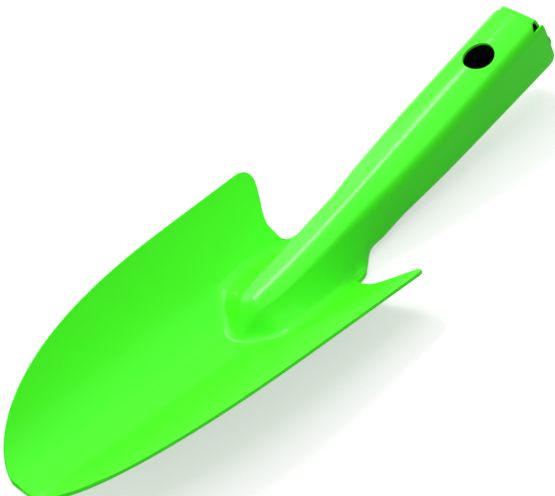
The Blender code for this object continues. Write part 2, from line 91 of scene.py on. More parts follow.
class SheetSizes(bpy.types.PropertyGroup):
    """Sizes of the pressed sheet: blade, rib, neck, handle and end tab."""
    thickness: length("Sheet thickness", "Thickness of the painted steel", 0.0012)
    edge_radius: length("Edge radius", "Rounding of the sheet's painted edges", 0.00028)
    blade_half_width: length("Blade half width", "Half the blade's width at its widest", 0.0422)
    widest_station: length("Widest station", "From the tip to the widest place of the blade", 0.1031)
    rear_start: length("Rear start", "From the tip to where the rear edge begins to shape the rows", 0.0960)
    tip_start: length("Tip start", "From the outline's tip to the first row of the sheet", 0.0004)
    tip_roundness: number("Tip roundness", "How quickly the outline widens behind the tip", 2.73)
    tip_fullness: number("Tip fullness", "How blunt the tip is", 0.49)
    front_narrowing: number("Front narrowing", "Taper of the blade towards its tip", 0.13)
    notch_station: length("Notch station", "From the tip to the neck", 0.1329)
    horn_station: length("Horn station", "From the tip to the rear corners", 0.1389)
    horn_rise_power: number("Horn rise", "Shape of the rise from the notch to the corner", 1.56)
    notch_radius: length("Notch radius", "Rounding between the notch and the neck", 0.0030)
    notch_floor_length: length("Notch floor", "Straight bottom of the notch", 0.0075)
    shoulder_radius: length("Shoulder radius", "Rounding of the rear corners", 0.0047)
    dish_depth: length("Dish depth", "Height of the rim over the floor", 0.0184)
    dish_power: number("Dish power", "How steeply the dish rises at its sides", 1.46)
    dish_floor: length("Dish floor", "Half width of the soft floor of the dish", 0.0040)
    dish_front_gain: number("Front gain", "How much deeper the dish is at the front", 0.31)
    tip_lift: length("Tip lift", "Height of the tip over the floor", 0.0031)
    tip_lift_length: length("Tip lift length", "Length over which the tip lifts", 0.0777)
    rib_station: length("Rib station", "From the tip to the rib's toe", 0.0880)
    rib_start_height: length("Rib start height", "Height of the rib's line at its toe", 0.0076)
    rib_nose_length: length("Rib nose", "Length of the rounded toe of the rib", 0.0120)
    rib_nose_power: number("Rib nose fullness", "How fully the toe of the rib rises", 1.7)
    rib_toe_length: length("Rib toe", "Length over which the crown widens behind the toe", 0.0180)
    rib_pitch: angle("Rib pitch", "Slope of the rib's crest at its toe", 7.0)
    rib_half_crown: length("Rib half crown", "Half the rib's flat top at its toe", 0.0058)
    rib_leg_angle: angle("Rib flank", "Slope of the rib's flanks at its toe", 36.0)
    rib_steepening: number("Rib steepening", "How late the flanks steepen towards the neck", 2.2)
    rib_foot_radius: length("Rib foot radius", "Hollow rounding at the rib's foot", 0.0130)
    rib_widest_share: number("Rib share", "Most of the blade's half width that the rib's columns take", 0.60)
    rib_dome_share: number("Rib dome", "How much of the turn to the flank the crown takes", 0.75)
    neck_half_crown: length("Neck half crown", "Half the flat top of the neck", 0.0062)
    neck_leg_angle: angle("Neck flank", "Slope of the neck's flanks", 68.0)
    neck_foot_radius: length("Neck foot radius", "Hollow rounding at the neck's foot", 0.0050)
    neck_dome_share: number("Neck dome", "How much of the turn to the flank the crown takes", 0.35)
    neck_pitch: angle("Neck pitch", "Slope of the crest at the neck", 15.0)
    neck_open_length: length("Open neck", "Length of the neck that is open underneath", 0.0165)
    neck_bend_length: length("Neck bend", "Length over which the neck bends", 0.0280)
    flange_closing_length: length("Flange closing", "Length over which the flanges close", 0.0300)
    handle_length: length("Handle length", "From the neck to the handle's end", 0.1051)
    handle_pitch: angle("Handle pitch", "Slope of the handle", 16.0)
    handle_dome_share: number("Handle dome", "How much of the turn to the wall the crown takes", 0.12)
    handle_half_crown_middle: length("Middle half crown", "Half the flat top at the handle's middle", 0.0077)
    handle_half_crown_end: length("End half crown", "Half the flat top at the handle's end", 0.0074)
    handle_depth_neck: length("Depth at the neck", "Height of the handle's section at the neck", 0.0155)
    handle_depth_end: length("Depth at the end", "Height of the handle's section at its end", 0.0227)
    top_edge_radius: length("Top bend", "Rounding of the handle's upper edges", 0.0039)
    bottom_edge_radius: length("Bottom bend", "Rounding of the handle's lower edges", 0.0032)
    ridge_half_width: length("Ridge", "Half the width of the soft ridge along the top", 0.0008)
    ridge_slope: angle("Ridge slope", "Turn of the sheet over half the ridge", 2.5)
    seam_gap: length("Seam gap", "Gap between the two flanges underneath", 0.0006)
    hole_diameter: length("Hole diameter", "Diameter of the hanging hole", 0.0113)
    hole_to_end: length("Hole to end", "From the hole's middle to the handle's end", 0.0226)
    fold_radius: length("Fold radius", "Bend of the end tab", 0.0022)
    tab_side_gap: length("Tab gap", "Gap between the end tab and the walls", 0.0008)
    relief_length: length("Relief length", "Depth of the notch at each corner of the tab", 0.0044)
    relief_tip_width: length("Relief tip", "Width of the notch's bottom", 0.0008)
    relief_past_middle: length("Relief side", "From the bend's middle to the notch's outer side", 0.0004)
    left_relief_flare: length("Left relief flare", "How far past the bend the left notch opens", 0.0020)
    end_corner_radius: length("End corner", "Rounding of the side walls' lower corners at the end", 0.0042)
    end_corner_above_bend: length("End corner start", "How far above the lower bend it starts", 0.0025)
    rest_turn: angle("Rest turn", "Turn from the sheet's own frame to the way it lies", -4.43455)
    rest_shift: FloatVectorProperty(name="Rest shift", description="Move to the place where it lies",
                                    default=(0.0, -0.1203954, 0.0080097), subtype="TRANSLATION", precision=6)


class WeldSizes(bpy.types.PropertyGroup):
    """Sizes of the tack welds."""
    clearance: length("Clearance", "Space between a bead and the sheet", 0.0003)
    seam_length: length("Seam bead length", "Length of the bead at the front of the seam", 0.0080)
    seam_width: length("Seam bead width", "Width of the bead at the front of the seam", 0.0048)
    seam_height: length("Seam bead height", "Height of the bead at the front of the seam", 0.0010)
    seam_place: length("Seam bead place", "From the neck to the bead at the front of the seam", 0.0385)
    end_length: length("End bead length", "Length of the bead across the seam's end", 0.0046)
    end_width: length("End bead width", "Width of the bead across the seam's end", 0.0028)
    tab_length: length("Tab bead length", "Length of the beads beside the tab", 0.0050)
    tab_width: length("Tab bead width", "Width of the beads beside the tab", 0.0032)
    end_height: length("End bead height", "Height of the beads on the handle's end", 0.0008)
    ripple: length("Ripple", "Height of the ripples across a bead", 0.00007)
    ripples: count("Ripples", "Number of ripples along a bead", 6)


class Finish(bpy.types.PropertyGroup):
    """Colours and surface of the paint and of the near-black inside of the handle, which is partly unpainted
    steel and partly painted shade.
    """
    paint: colour("Paint", "Colour of the paint", (0.056, 0.910, 0.008, 1.0))
    thick_paint: colour("Thick paint", "Colour where the paint has run together", (0.046, 0.840, 0.006, 1.0))
    # Darker green on raised edges: partly thin paint, partly painted shade along the sheet's edges
    thin_paint: colour("Thin paint", "Colour where the paint is thin, on edges", (0.045, 0.500, 0.020, 1.0))
    # Near black inside the handle: partly unpainted steel, partly painted shade where little light reaches
    # the closed tube
    steel: colour("Inside", "Colour of the unpainted steel inside the handle", (0.012, 0.012, 0.013, 1.0))
    paint_roughness: number("Paint roughness", "Roughness of the paint", 0.45)
    gloss: number("Gloss", "Strength of the paint's soft shine", 0.08)
    coat: number("Clear coat", "Strength of the mirror-like shine", 0.22)
    coat_roughness: number("Clear coat roughness", "Roughness of the mirror-like shine", 0.13)
    peel_depth: length("Orange peel depth", "Height of the paint's fine waves", 0.00002)
    peel_size: length("Orange peel size", "Width of the paint's fine waves", 0.0016)


class Stage(bpy.types.PropertyGroup):
    """Floor, lights and camera."""
    floor_colour: colour("Floor", "Colour of the floor", (0.50, 0.50, 0.50, 1.0))
    floor_shade: colour("Floor grain", "Colour of the grain in the floor's paper", (0.46, 0.46, 0.46, 1.0))
    floor_white: number("Floor white", "How white the camera and reflections see the floor", 0.56)
    sky_strength: number("Sky strength", "Light from all round", 0.46)
    key_power: power("Key light", "Power of the large soft light", 5.6)
    top_power: power("Top light", "Power of the wide light overhead", 8.6)
    side_power: power("Side light", "Power of the low soft light", 4.4)
    strip_power: power("Strip light", "Power of the narrow soft light", 3.2)
    strip_lean: angle("Strip lean", "Lean of the narrow light, along the handle's top line", 34.0)
    camera_place: FloatVectorProperty(name="Camera place", description="Where the camera stands",
                                      default=(0.42551, -0.29347, 0.50043), subtype="TRANSLATION",
                                      precision=5)
    camera_turn: FloatVectorProperty(name="Camera turn", description="How the camera is turned",
                                     default=[math.radians(a) for a in (45.9526, 11.0179, 45.4440)],
                                     subtype="EULER", precision=5)
    lens: FloatProperty(name="Lens", description="Focal length on a 36 mm wide image", default=141.106,
                        unit="CAMERA")


# Grid of the sheet: rows from the tip to the tab's edge, columns outwards from the middle
FRONT_ROWS = 44
FRONT_ROW_CROWDING = 1.6
RIB_ROWS = 36
RIB_ROW_CROWDING = 1.45
NECK_ROWS = 20
HANDLE_ROWS = 84
RELIEF_ROWS = 8
FOLD_ROWS = 8
TAB_ROWS = 14
RIDGE_COLUMNS = 2
CROWN_COLUMNS = 8
INNER_SHOULDER_COLUMNS = 5
OUTER_SHOULDER_COLUMNS = 5
UPPER_LEG_COLUMNS = 4
LOWER_LEG_COLUMNS = 6
FOOT_COLUMNS = 10
WING_COLUMNS = 34

NECK_ROW = FRONT_ROWS + RIB_ROWS
CLOSED_ROW = NECK_ROW + NECK_ROWS
RELIEF_ROW = CLOSED_ROW + HANDLE_ROWS
END_ROW = RELIEF_ROW + RELIEF_ROWS
FOLD_ROW = END_ROW + FOLD_ROWS
LAST_ROW = FOLD_ROW + TAB_ROWS
TIP_COLUMN = CROWN_COLUMNS + INNER_SHOULDER_COLUMNS
WALL_COLUMN = TIP_COLUMN + 1 + OUTER_SHOULDER_COLUMNS
BEND_COLUMN = WALL_COLUMN + UPPER_LEG_COLUMNS + LOWER_LEG_COLUMNS
EDGE_COLUMN = BEND_COLUMN + FOOT_COLUMNS
LAST_COLUMN = EDGE_COLUMN + WING_COLUMNS

# How nearly the relief notch's inner side reaches its tip, and where the rows bend to the rounded corners
RELIEF_SLANT = 0.94
CORNER_SPREAD = 0.0105

# The end tab is at its full width past its fold and this share of its straight part
TAB_WIDENING_SHARE = 0.25

# Steps of a section that heights are read from, and of the bend that the crest's line is added up along
FINE_STEPS = 6
CREST_STEPS = 24

# Rings of faces between the hanging hole and the grid around it, and how they crowd towards the hole
HOLE_RINGS = 4
HOLE_RING_CROWDING = 0.8

# The sheet's edges are rounded where its faces meet at more than this angle
EDGE_SEGMENTS = 2
LEAST_EDGE_ANGLE = math.radians(55.0)

# Weld beads: segments round and up a bead, bow of its ripples, and the angle of its sharp rim
BEAD_SEGMENTS = 56
BEAD_RINGS = 28
RIPPLE_BOW = 0.18
BEAD_SHARP_ANGLE = math.radians(50.0)


def share(value, start, end):
    return min(max((value - start) / (end - start), 0.0), 1.0)


def ease(value, start, end):
    part = share(value, start, end)
    return part * part * (3.0 - 2.0 * part)


def blend(first, second, part):
    return first + (second - first) * part


def round_corner(distance, radius):
    """How far a rounded corner of a straight edge lies back."""
    return radius - math.sqrt(max(radius ** 2 - (radius - min(distance, radius)) ** 2, 0.0))


def bent_strip(runs):
    """Points (x, z) of a strip bent downwards: each run is a length, an angle and a number of steps."""
    points = [(0.0, 0.0)]
    slope = 0.0
    for run, bend, steps in runs:
        for _ in range(steps):
            x, z = points[-1]
            middle = slope + bend / steps / 2.0
            points.append((x + run / steps * math.cos(middle), z - run / steps * math.sin(middle)))
            slope += bend / steps
    return points


def height_on(section, x):
    """Height of a section's outline at x; beyond its foot the height is 0."""
    for (x1, z1), (x2, z2) in zip(section, section[1:]):
        if x <= x2:
            return blend(z1, z2, share(x, x1, x2))
    return 0.0


class SheetForm:
    """The shape of the sheet, worked out from its sizes."""

    def __init__(self, sizes):
        for name in SheetSizes.__annotations__:
            setattr(self, name, getattr(sizes, name))
        self.kept = {}

    def keep(self, key, make):
        if key not in self.kept:
            self.kept[key] = make()
        return self.kept[key]

    # Blade

    def half_width(self, station):
        front = share(station, 0.0, self.widest_station)
        rounding = (1.0 - (1.0 - front) ** self.tip_roundness) ** self.tip_fullness
        narrowing = 1.0 - self.front_narrowing * (1.0 - share(station, 0.0, self.horn_station))
        return max(self.blade_half_width * rounding * narrowing, SMALLEST)

    def dish_height(self, x, station):
        lift = self.tip_lift * (1.0 - share(station, 0.0, self.tip_lift_length)) ** 2
        gain = 1.0 + self.dish_front_gain * (1.0 - share(station, 0.0, self.horn_station))
        outwards = math.hypot(x, self.dish_floor) - self.dish_floor
        rim = math.hypot(self.blade_half_width, self.dish_floor) - self.dish_floor
        return lift + self.dish_depth * gain * (outwards / rim) ** self.dish_power

    def rear_station(self, distance, span):
        floor = self.notch_station - self.notch_radius + round_corner(distance, self.notch_radius)
        rise = math.sin(SQUARE * share(distance, self.notch_floor_length, span)) ** self.horn_rise_power
        horn = (self.horn_station - self.notch_station + self.notch_radius) * rise
        return floor + horn - round_corner(span - distance, self.shoulder_radius)

    def rib_height(self, station):
        """Height of the rib's crest above the dish; its slope grows evenly to the neck's."""
        distance = station - self.rib_station
        first = math.tan(self.rib_pitch)
        growth = (math.tan(self.neck_pitch) - first) / (self.notch_station - self.rib_station)
        line = self.rib_start_height + first * distance + growth * distance ** 2 / 2.0
        nose = math.sin(SQUARE * share(station, self.rib_station, self.rib_station + self.rib_nose_length))
        return line * nose ** self.rib_nose_power

    def section_of_height(self, height, half_crown, dome_share, leg_angle, foot, foot_bend, finer=1):
        """Half section: a soft ridge, a domed crown, the upper bend, the side and the foot.

        The upper bend has one column for the relief notch's tip, and the side is finer where the end's
        corner is rounded.
        """
        slope = min(self.ridge_slope, leg_angle / 4.0)
        dome = dome_share * (leg_angle - slope)
        bend = leg_angle - slope - dome
        reach = self.top_edge_radius * max(bend, LEAST_BEND)
        whole = self.top_edge_radius * SQUARE
        tip = self.relief_tip_width / whole
        outer = 0.5 - self.relief_past_middle / whole
        inner = 1.0 - outer - tip
        above = (
            (self.ridge_half_width, slope, RIDGE_COLUMNS * finer),
            (half_crown - self.ridge_half_width, dome, (CROWN_COLUMNS - RIDGE_COLUMNS) * finer),
            (reach * inner, bend * inner, INNER_SHOULDER_COLUMNS * finer),
            (reach * tip, bend * tip, finer),
            (reach * outer, bend * outer, OUTER_SHOULDER_COLUMNS * finer),
        )
        below = (foot, foot_bend, FOOT_COLUMNS * finer)
        bends_drop = -bent_strip((*above, below))[-1][1]
        side = max((height - bends_drop) / math.sin(leg_angle), SMALLEST)
        lower_side = min(self.end_corner_above_bend, side / 2.0)
        sides = (
            (side - lower_side, 0.0, UPPER_LEG_COLUMNS * finer),
            (lower_side, 0.0, LOWER_LEG_COLUMNS * finer),
        )
        return bent_strip((*above, *sides, below))

    def rib_section(self, station, finer=1):
        """Half section of the rib, with its foot at height 0."""
        height = self.rib_height(station)
        along = share(station, self.rib_station, self.notch_station)
        toe = math.sqrt(share(station, self.rib_station, self.rib_station + self.rib_toe_length))
        widest_crown = blend(self.rib_half_crown, self.neck_half_crown, along)
        half_crown = blend(self.ridge_half_width, widest_crown, toe)
        dome_share = blend(self.rib_dome_share, self.neck_dome_share, along)
        widest_angle = blend(self.rib_leg_angle, self.neck_leg_angle, along ** self.rib_steepening)
        foot_radius = blend(self.rib_foot_radius, self.neck_foot_radius, along)
        flattest = math.acos(max(1.0 - height / (self.top_edge_radius + foot_radius), -1.0))
        leg_angle = max(min(widest_angle, flattest), LEAST_BEND)
        points = self.section_of_height(height, half_crown, dome_share, leg_angle,
                                        foot_radius * leg_angle, -leg_angle, finer)
        foot = points[-1][1]
        top = max(-foot, SMALLEST)
        return [(x, (z - foot) * height / top) for x, z in points]

    def spread_section(self, station):
        """The rib's section with its points even in front of the rib, and on its bends at the neck."""
        section = self.rib_section(station)
        fine = self.rib_section(station, FINE_STEPS)
        reach = self.keep("reach", lambda: self.rib_section(self.notch_station)[-1][0])
        bent = ease(station, self.rib_station, self.notch_station)
        columns = [blend(reach * column / EDGE_COLUMN, section[column][0], bent)
                   for column in range(EDGE_COLUMN + 1)]
        return [(x, height_on(fine, x)) for x in columns]

    def blade_station(self, row):
        if row <= FRONT_ROWS:
            return blend(self.tip_start, self.rib_station, (row / FRONT_ROWS) ** FRONT_ROW_CROWDING)
        part = ((row - FRONT_ROWS) / RIB_ROWS) ** RIB_ROW_CROWDING
        return blend(self.rib_station, self.notch_station, part)

    def blade_point(self, row, column):
        station = self.blade_station(row)
        width = self.half_width(station)
        section = self.keep(("rib", row), lambda: self.spread_section(station))
        narrowing = min(1.0, self.rib_widest_share * width / section[-1][0])
        if column <= EDGE_COLUMN:
            x, height = section[column]
            x *= narrowing
            return Vector((x, station, height + self.dish_height(x, station)))
        foot = section[-1][0] * narrowing
        span = self.half_width(self.horn_station) - foot
        outwards = (column - EDGE_COLUMN) / WING_COLUMNS
        rear = ease(station, self.rear_start, self.notch_station)
        station += (self.rear_station(outwards * span, span) - self.notch_station) * rear
        x = blend(foot, self.half_width(station), outwards)
        return Vector((x, station, self.dish_height(x, station)))

    # Handle

    def pitch(self, along):
        return blend(self.neck_pitch, self.handle_pitch, ease(along, 0.0, self.neck_bend_length))

    def half_crown(self, along):
        middle = self.handle_length / 2.0
        if along < middle:
            return blend(self.neck_half_crown, self.handle_half_crown_middle, ease(along, 0.0, middle))
        end = ease(along, middle, self.handle_length)
        return blend(self.handle_half_crown_middle, self.handle_half_crown_end, end)

    def depth(self, along):
        return blend(self.handle_depth_neck, self.handle_depth_end, share(along, 0.0, self.handle_length))

    def handle_section(self, along):
        """Half section of the neck and handle: crown, upper bend, side wall and lower bend."""
        return self.keep(("section", round(along, 8)), lambda: self.make_handle_section(along))

    def make_handle_section(self, along):
        bent = ease(along, 0.0, self.neck_bend_length)
        leg_angle = blend(self.neck_leg_angle, SQUARE, bent)
        dome_share = blend(self.neck_dome_share, self.handle_dome_share, bent)
        closing = ease(along, 0.0, self.neck_open_length)
        trim = math.sin(SQUARE * share(along, 0.0, self.neck_open_length))
        open_foot = self.neck_foot_radius * self.neck_leg_angle
        closed_foot = self.bottom_edge_radius * (HALF_TURN - leg_angle)
        depth = blend(self.rib_height(self.notch_station), self.depth(along), closing)
        points = self.section_of_height(depth, self.half_crown(along), dome_share, leg_angle,
                                        blend(open_foot, closed_foot, trim), HALF_TURN * closing - leg_angle)
        return [(x, z + self.dish_height(x, self.notch_station) * (1.0 - closing)) for x, z in points]

    def crest_place(self, along):
        return self.keep(("crest", round(along, 8)), lambda: self.make_crest_place(along))

    def make_crest_place(self, along):
        bent = min(along, self.neck_bend_length)
        straight = along - bent
        station = self.notch_station + straight * math.cos(self.handle_pitch)
        height = self.rib_height(self.notch_station) + straight * math.sin(self.handle_pitch)
        piece = bent / CREST_STEPS
        for step in range(CREST_STEPS):
            pitch = self.pitch(piece * (step + 0.5))
            station += piece * math.cos(pitch)
            height += piece * math.sin(pitch)
        return station, height

    def tilt(self, along):
        return self.pitch(along) * ease(along, 0.0, self.neck_bend_length)

    def on_handle(self, along, x, z):
        station, height = self.crest_place(along)
        tilt = self.tilt(along)
        return Vector((x, station - z * math.sin(tilt), height + z * math.cos(tilt)))

    def handle_axes(self, along, x, z):
        """Axes at a point of the section: X across, Y along the handle, Z out of its top."""
        turn = Matrix.Rotation(self.tilt(along), 4, "X")
        return Matrix.Translation(self.on_handle(along, x, z)) @ turn

    def row_distance(self, row):
        relief = self.handle_length - self.relief_length
        if row <= CLOSED_ROW:
            return self.neck_open_length * (row - NECK_ROW) / NECK_ROWS
        if row <= RELIEF_ROW:
            return blend(self.neck_open_length, relief, (row - CLOSED_ROW) / HANDLE_ROWS)
        return blend(relief, self.handle_length, (row - RELIEF_ROW) / RELIEF_ROWS)

    def end_setback(self, column):
        """How far the rounded lower corner puts a column's end behind the handle's end."""
        section = self.handle_section(self.handle_length)
        sides = zip(section[WALL_COLUMN:column], section[WALL_COLUMN + 1:column + 1])
        reach = sum(math.dist(*pair) for pair in sides)
        bend_start = -section[WALL_COLUMN][1] + section[BEND_COLUMN][1]
        past = reach + bend_start + self.end_corner_above_bend
        past = min(max(past, 0.0), self.end_corner_radius)
        return self.end_corner_radius - math.sqrt(self.end_corner_radius ** 2 - past ** 2)

    def relief_setback(self, column):
        """How far the left notch's flared side puts a column's end behind the handle's end."""
        section = self.handle_section(self.handle_length)
        sides = zip(section[TIP_COLUMN + 1:], section[TIP_COLUMN + 2:BEND_COLUMN])
        outline = [math.dist(*pair) for pair in sides]
        bend = sum(outline[:OUTER_SHOULDER_COLUMNS])
        reach = sum(outline[:column - TIP_COLUMN - 1])
        return self.relief_length * RELIEF_SLANT * (1.0 - share(reach, 0.0, bend + self.left_relief_flare))

    def handle_point(self, row, column, side):
        along = self.row_distance(row)
        relief = self.handle_length - self.relief_length
        if row > RELIEF_ROW and column <= TIP_COLUMN:
            top_end = self.handle_length - self.fold_radius
            slant = RELIEF_SLANT * share(column, CROWN_COLUMNS, TIP_COLUMN)
            along = relief + (top_end - relief) * (row - RELIEF_ROW) / RELIEF_ROWS * (1.0 - slant)
        if column > TIP_COLUMN:
            setback = self.keep(("corner", column), lambda: self.end_setback(column))
            if side < 0.0 and column < BEND_COLUMN:
                setback += self.keep(("relief", column), lambda: self.relief_setback(column))
            along -= setback * share(along, self.handle_length - CORNER_SPREAD, self.handle_length)
        section = self.handle_section(along)
        if column <= EDGE_COLUMN:
            return self.on_handle(along, *section[column])
        edge, z = section[-1]
        closing = ease(along, self.neck_open_length, self.neck_open_length + self.flange_closing_length)
        flange = (edge - self.seam_gap / 2.0) * closing
        return self.on_handle(along, edge - flange * (column - EDGE_COLUMN) / WING_COLUMNS, z)

    # End tab

    def inner_half_width(self, depth):
        """Half the clear width between the side walls at the handle's end, at a depth below its crest."""
        wall_x, wall_z = self.handle_section(self.handle_length)[WALL_COLUMN]
        side = wall_x - self.thickness
        top_radius = self.top_edge_radius - self.thickness
        bottom_radius = self.bottom_edge_radius - self.thickness
        above = -wall_z - depth
        below = depth - (self.handle_depth_end - self.bottom_edge_radius)
        if above > 0.0:
            return side - top_radius + math.sqrt(max(top_radius ** 2 - above ** 2, 0.0))
        if below > 0.0:
            return side - bottom_radius + math.sqrt(max(bottom_radius ** 2 - below ** 2, 0.0))
        return side

    def tab_point(self, row, column):
        turned = SQUARE * share(row, END_ROW, FOLD_ROW)
        straight = self.handle_depth_end - self.thickness - self.tab_side_gap - self.fold_radius
        drop = self.fold_radius * (1.0 - math.cos(turned)) + straight * share(row, FOLD_ROW, LAST_ROW)
        back = -self.fold_radius * (1.0 - math.sin(turned))
        crown = self.handle_section(self.handle_length)[column]
        half_crown = self.half_crown(self.handle_length)
        wide = max(self.inner_half_width(drop) - self.tab_side_gap, half_crown) * crown[0] / half_crown
        widened = ease(drop, 0.0, self.fold_radius + straight * TAB_WIDENING_SHARE)
        dome = crown[1] * (1.0 - share(row, END_ROW, FOLD_ROW))
        point = self.on_handle(self.handle_length, blend(crown[0], wide, widened), dome - drop)
        pitch = self.pitch(self.handle_length)
        return point + Vector((0.0, back * math.cos(pitch), back * math.sin(pitch)))

    # Whole sheet

    def point(self, row, column):
        if row <= NECK_ROW:
            place = self.blade_point(row, abs(column))
        elif row <= END_ROW:
            place = self.handle_point(row, abs(column), column)
        else:
            place = self.tab_point(row, min(abs(column), CROWN_COLUMNS))
        if column < 0:
            place.x = -place.x
        return place

    def rest(self):
        return Matrix.Translation(self.rest_shift) @ Matrix.Rotation(self.rest_turn, 4, "X")


def outside_sheet(row, column):
    """True for a grid face in the notch beside the neck, in a relief notch or beside the end tab."""
    in_notch = NECK_ROW < row < CLOSED_ROW and column > EDGE_COLUMN
    in_relief = row > RELIEF_ROW and TIP_COLUMN < column < TIP_COLUMN + 1
    beside_tab = row > END_ROW and column > CROWN_COLUMNS
    return in_notch or in_relief or beside_tab


def hole_block(form):
    """First and last row of the grid faces that make room for the hanging hole."""
    middle = form.handle_length - form.hole_to_end
    step = form.row_distance(CLOSED_ROW + 1) - form.row_distance(CLOSED_ROW)
    row = CLOSED_ROW + (middle - form.neck_open_length) / step
    reach = form.half_crown(middle) / step
    return round(row - reach), round(row + reach)


def open_hole(bm, form, kept_rows):
    """Draw the block's edge inwards to a circle, in rings that stay on the handle's crown."""
    middle = form.handle_length - form.hole_to_end
    inside = set(range(kept_rows[0], kept_rows[1] + 1))
    row_layer = bm.verts.layers.int["row"]
    column_layer = bm.verts.layers.int["column"]
    edges = [edge for edge in bm.edges if edge.is_boundary and all(
        v[row_layer] in inside and abs(v[column_layer]) <= CROWN_COLUMNS for v in edge.verts)]
    start = {v: Vector((v.co.x, form.row_distance(v[row_layer]) - middle)) for e in edges for v in e.verts}
    radius = form.hole_diameter / 2.0
    for ring in range(1, HOLE_RINGS + 1):
        part = (ring / HOLE_RINGS) ** HOLE_RING_CROWDING
        made = bmesh.ops.extrude_edge_only(bm, edges=edges)["geom"]
        verts = [item for item in made if isinstance(item, bmesh.types.BMVert)]
        made_edges = [item for item in made if isinstance(item, bmesh.types.BMEdge)]
        following = {}
        for old in list(start):
            twin = next(e.other_vert(old) for e in old.link_edges if e.other_vert(old) in verts)
            following[twin] = start[old]
        for vert, outer in following.items():
            circle = outer.normalized() * radius
            flat = outer.lerp(circle, part)
            along = middle + flat.y
            section = form.handle_section(round(along, 5))
            vert.co = form.on_handle(along, flat.x, height_on(section, abs(flat.x)))
        start = following
        edges = [e for e in made_edges if all(v in following for v in e.verts)]


def new_object(name, bm, materials):
    """An object at the origin, with its place in its mesh."""
    mesh = bpy.data.meshes.new(name)
    bm.to_mesh(mesh)
    bm.free()
    mesh.shade_smooth()
    for material in materials:
        mesh.materials.append(material)
    obj = bpy.data.objects.new(name, mesh)
    bpy.context.scene.collection.objects.link(obj)
    return obj


# Materials

# Noise: width of its waves in metres, its detail, the range of it that shows, and what that becomes
PAINT_DRIFT = (0.030, 2.0, 0.35, 0.65, 0.0, 0.22)
HANDLING_MARKS = (0.012, 4.0, 0.45, 0.75, 0.0, 0.07)
SPRAY_GRAIN = (0.0009, 1.0, 0.3, 0.7, -0.02, 0.02)
PAPER_GRAIN = (0.002, 2.0, 0.3, 0.7, 0.0, 0.03)

# Pointiness on raised edges and in hollows: the range that shows, and how far the colour changes there; the
# darker raised edges are partly thin paint and partly painted shade along the edges
RAISED_EDGE_THIN_PAINT_AND_SHADE = (0.53, 0.62, 0.0, 0.6)
HOLLOW_EDGE = (0.40, 0.48, 0.5, 0.0)

# Specks under the paint: how many to a metre, and how high they are within two distances of their middles
SPECKS_TO_A_METRE = 260.0
SPECK_HEIGHT = (0.04, 0.10, 0.9, 0.0)
PAINT_BUMP = 0.6

# Inside the handle the colour goes to near black between two places along Y, with a cloudy edge: partly
# unpainted steel where the spray thins out, partly painted shade inside the closed tube
INSIDE_DARKENING_REACH = (0.030, 0.048, 0.0, 1.0)
CLOUD_SIZE = 0.004
CLOUD_DETAIL = 3.0
CLOUD_DEPTH = 0.010

FLOOR_ROUGHNESS = 0.9
FLOOR_GLOSS = 0.1


def socket(group, name, in_out, kind, default=None):
    made = group.interface.new_socket(name=name, in_out=in_out, socket_type=kind)
    if default is not None:
        made.default_value = default
    return made


class Nodes:
    """Small helper that adds and joins shader nodes."""

    def __init__(self, tree):
        self.tree = tree

    def add(self, kind, settings=None, **inputs):
        node = self.tree.nodes.new(kind)
        for name, value in (settings or {}).items():
            setattr(node, name, value)
        for name, value in inputs.items():
            self.give(node.inputs[name.replace("_", " ")], value)
        return node

    def give(self, target, value):
        if isinstance(value, bpy.types.NodeSocket):
            self.tree.links.new(value, target)
        else:
            target.default_value = value

    def math(self, operation, first, second=0.0):
        node = self.add("ShaderNodeMath", {"operation": operation})
        self.give(node.inputs[0], first)
        self.give(node.inputs[1], second)
        return node.outputs[0]

    def spread(self, value, low, high, to_low, to_high):
        """Map a value from one range to another, softly and without leaving the second range."""
        node = self.add("ShaderNodeMapRange", {"interpolation_type": "SMOOTHSTEP"}, Value=value)
        limits = {"From Min": low, "From Max": high, "To Min": to_low, "To Max": to_high}
        for name, limit in limits.items():
            self.give(node.inputs[name], limit)
        return node.outputs[0]

    def mix(self, part, first, second):
        node = self.add("ShaderNodeMix", {"data_type": "RGBA"})
        self.give(node.inputs["Factor"], part)
        self.give(node.inputs["A"], first)
        self.give(node.inputs["B"], second)
        return node.outputs["Result"]

    def noise(self, place, size, detail):
        """Noise with waves about as wide as the size in metres."""
        node = self.add("ShaderNodeTexNoise", Vector=place, Scale=1.0 / size, Detail=detail, Roughness=0.5)
        return node.outputs[0]

    def spread_noise(self, place, size, detail, *limits):
        return self.spread(self.noise(place, size, detail), *limits)


